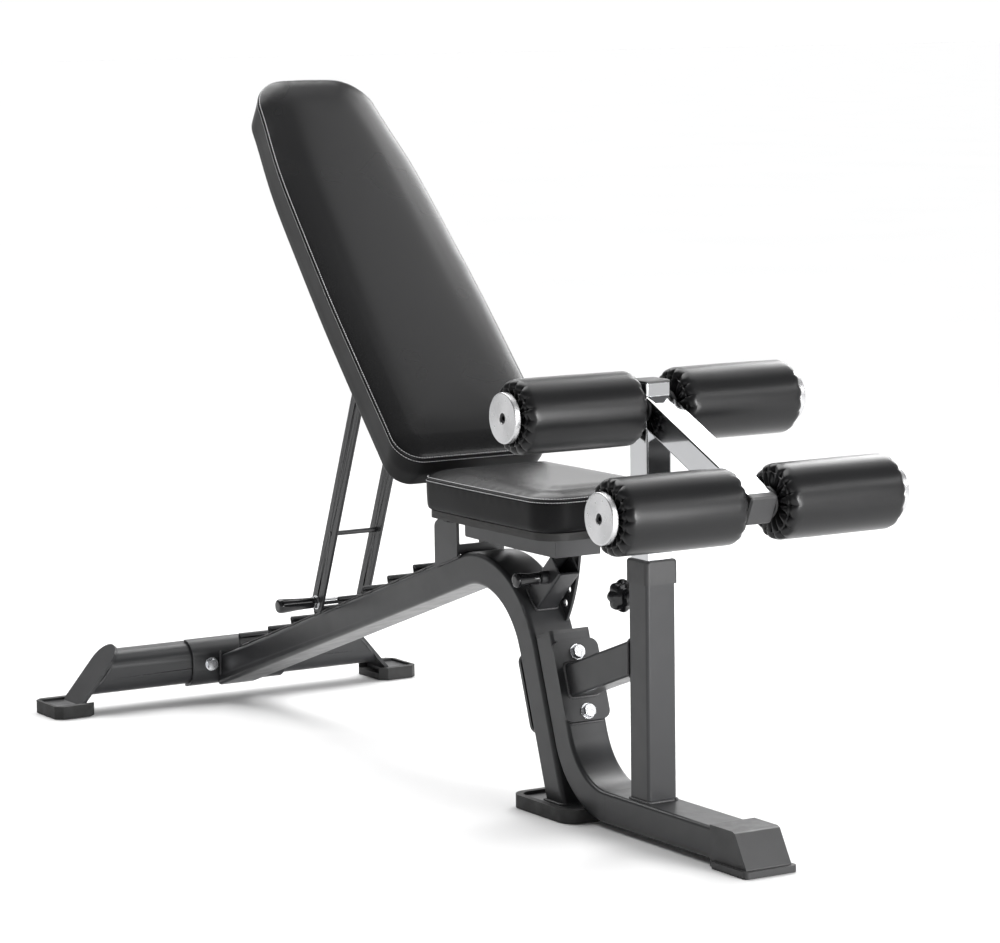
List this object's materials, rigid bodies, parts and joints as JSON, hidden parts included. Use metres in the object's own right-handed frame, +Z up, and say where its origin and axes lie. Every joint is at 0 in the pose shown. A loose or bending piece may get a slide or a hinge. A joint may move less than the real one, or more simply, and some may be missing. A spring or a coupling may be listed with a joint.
{
  "type": "adjustable weight bench",
  "caption": "Weight bench with a reclining back on a ladder rack, a tilting seat and a telescoping foam-roller leg holder.",
  "frame": {"origin": "on the floor, at the middle of the bench's outline", "axes": "+X towards the leg holder, +Y to the sitter's left, +Z up"},
  "size_m": [1.724, 0.716, 1.1016],
  "materials": {
    "frame_paint": "satin powder coat, fine orange peel",
    "chrome": "polished",
    "disc_alloy": "turned and polished",
    "black_oxide": "black oxide",
    "zinc": "zinc plated",
    "black_plastic": "moulded, fine texture",
    "gloss_black": "glossy moulded",
    "rubber": "matt",
    "pad_vinyl": "pebbled upholstery vinyl",
    "pad_board": "black painted plywood",
    "roller_vinyl": "smooth soft vinyl over foam",
    "stitching": "thread"
  },
  "bodies": {
    "base": {"spine_tube": "frame_paint", "ladder_rack": "frame_paint", "hinge_bracket": "frame_paint", "pin_stub": "frame_paint", "stabilizer_tube": "frame_paint", "saddle_plate": "frame_paint", "saddle_bolts": "zinc", "stabilizer_feet": "frame_paint", "rear_pads": "rubber", "leg_plate": "frame_paint", "leg_pad": "rubber", "leg_frame": "frame_paint", "leg_frame_cap": "black_plastic", "front_plate": "frame_paint", "rear_plate": "frame_paint", "attach_bolts": "zinc", "brace_tube": "frame_paint", "post_tube": "frame_paint", "post_collar": "black_plastic", "knob_nut": "frame_paint", "foot_cap": "black_plastic", "hinge_bolt": "black_oxide"},
    "backrest": {"back_pad": "pad_vinyl", "back_board": "pad_board", "back_rails": "frame_paint", "back_lugs": "frame_paint", "rail_caps": "black_plastic", "back_screws": "zinc", "strut_bolt": "zinc"},
    "support": {"strut_bars": "frame_paint", "mid_rod": "frame_paint", "catch_rod": "chrome", "grips": "gloss_black", "grip_nuts": "chrome"},
    "seat": {"seat_pad": "pad_vinyl", "seat_board": "pad_board", "seat_frame": "frame_paint", "seat_tongue": "frame_paint", "sector_plate": "frame_paint", "seat_screws": "zinc"},
    "pull_pin": {"seat_pin": "zinc", "seat_pin_knob": "gloss_black"},
    "leg_holder": {"inner_post": "chrome", "arm_tube": "chrome", "post_cap": "black_plastic", "arm_cap": "black_plastic", "axles": "chrome", "end_discs": "disc_alloy", "disc_bolts": "black_oxide"},
    "clamp_knob": {"star_knob": "gloss_black", "knob_stud": "zinc"},
    "roller_upper_right": {"foam_upper_right": "roller_vinyl", "core_upper_right": "black_plastic"},
    "roller_upper_left": {"foam_upper_left": "roller_vinyl", "core_upper_left": "black_plastic"},
    "roller_lower_right": {"foam_lower_right": "roller_vinyl", "core_lower_right": "black_plastic"},
    "roller_lower_left": {"foam_lower_left": "roller_vinyl", "core_lower_left": "black_plastic"}
  },
  "joints": [
    {"name": "back_tilt", "type": "hinge", "parent": "base", "child": "backrest", "pos_m": [0.056, 0, 0.422], "axis": [0, 1, 0], "range_deg": [-46, 4]},
    {"name": "strut_fold", "type": "hinge", "parent": "backrest", "child": "support", "pos_m": [-0.207, 0, 0.66], "axis": [0, 1, 0], "range_deg": [-7.5, 85.2]},
    {"name": "seat_tilt", "type": "hinge", "parent": "base", "child": "seat", "pos_m": [0.056, 0, 0.422], "axis": [0, -1, 0], "range_deg": [0, 12]},
    {"name": "pin_pull", "type": "slide", "parent": "base", "child": "pull_pin", "axis": [0, -1, 0], "range_m": [0, 0.012], "stiffness_N_per_m": 500, "springref_m": -0.006},
    {"name": "leg_slide", "type": "slide", "parent": "base", "child": "leg_holder", "axis": [0, 0, 1], "range_m": [-0.1, 0.1]},
    {"name": "knob_turn", "type": "hinge", "parent": "base", "child": "clamp_knob", "pos_m": [0.496, 0, 0.347], "axis": [-1, 0, 0], "range_deg": [0, 360]},
    {"name": "spin_upper_right", "type": "hinge", "parent": "leg_holder", "child": "roller_upper_right", "pos_m": [0.558, 0, 0.634], "axis": [0, 1, 0], "continuous": true},
    {"name": "spin_upper_left", "type": "hinge", "parent": "leg_holder", "child": "roller_upper_left", "pos_m": [0.558, 0, 0.634], "axis": [0, 1, 0], "continuous": true},
    {"name": "spin_lower_right", "type": "hinge", "parent": "leg_holder", "child": "roller_lower_right", "pos_m": [0.808, 0, 0.519], "axis": [0, 1, 0], "continuous": true},
    {"name": "spin_lower_left", "type": "hinge", "parent": "leg_holder", "child": "roller_lower_left", "pos_m": [0.808, 0, 0.519], "axis": [0, 1, 0], "continuous": true}
  ],
  "couplings": [
    {"joint": "strut_fold", "follows": "back_tilt", "ratio": -1.85}
  ]
}
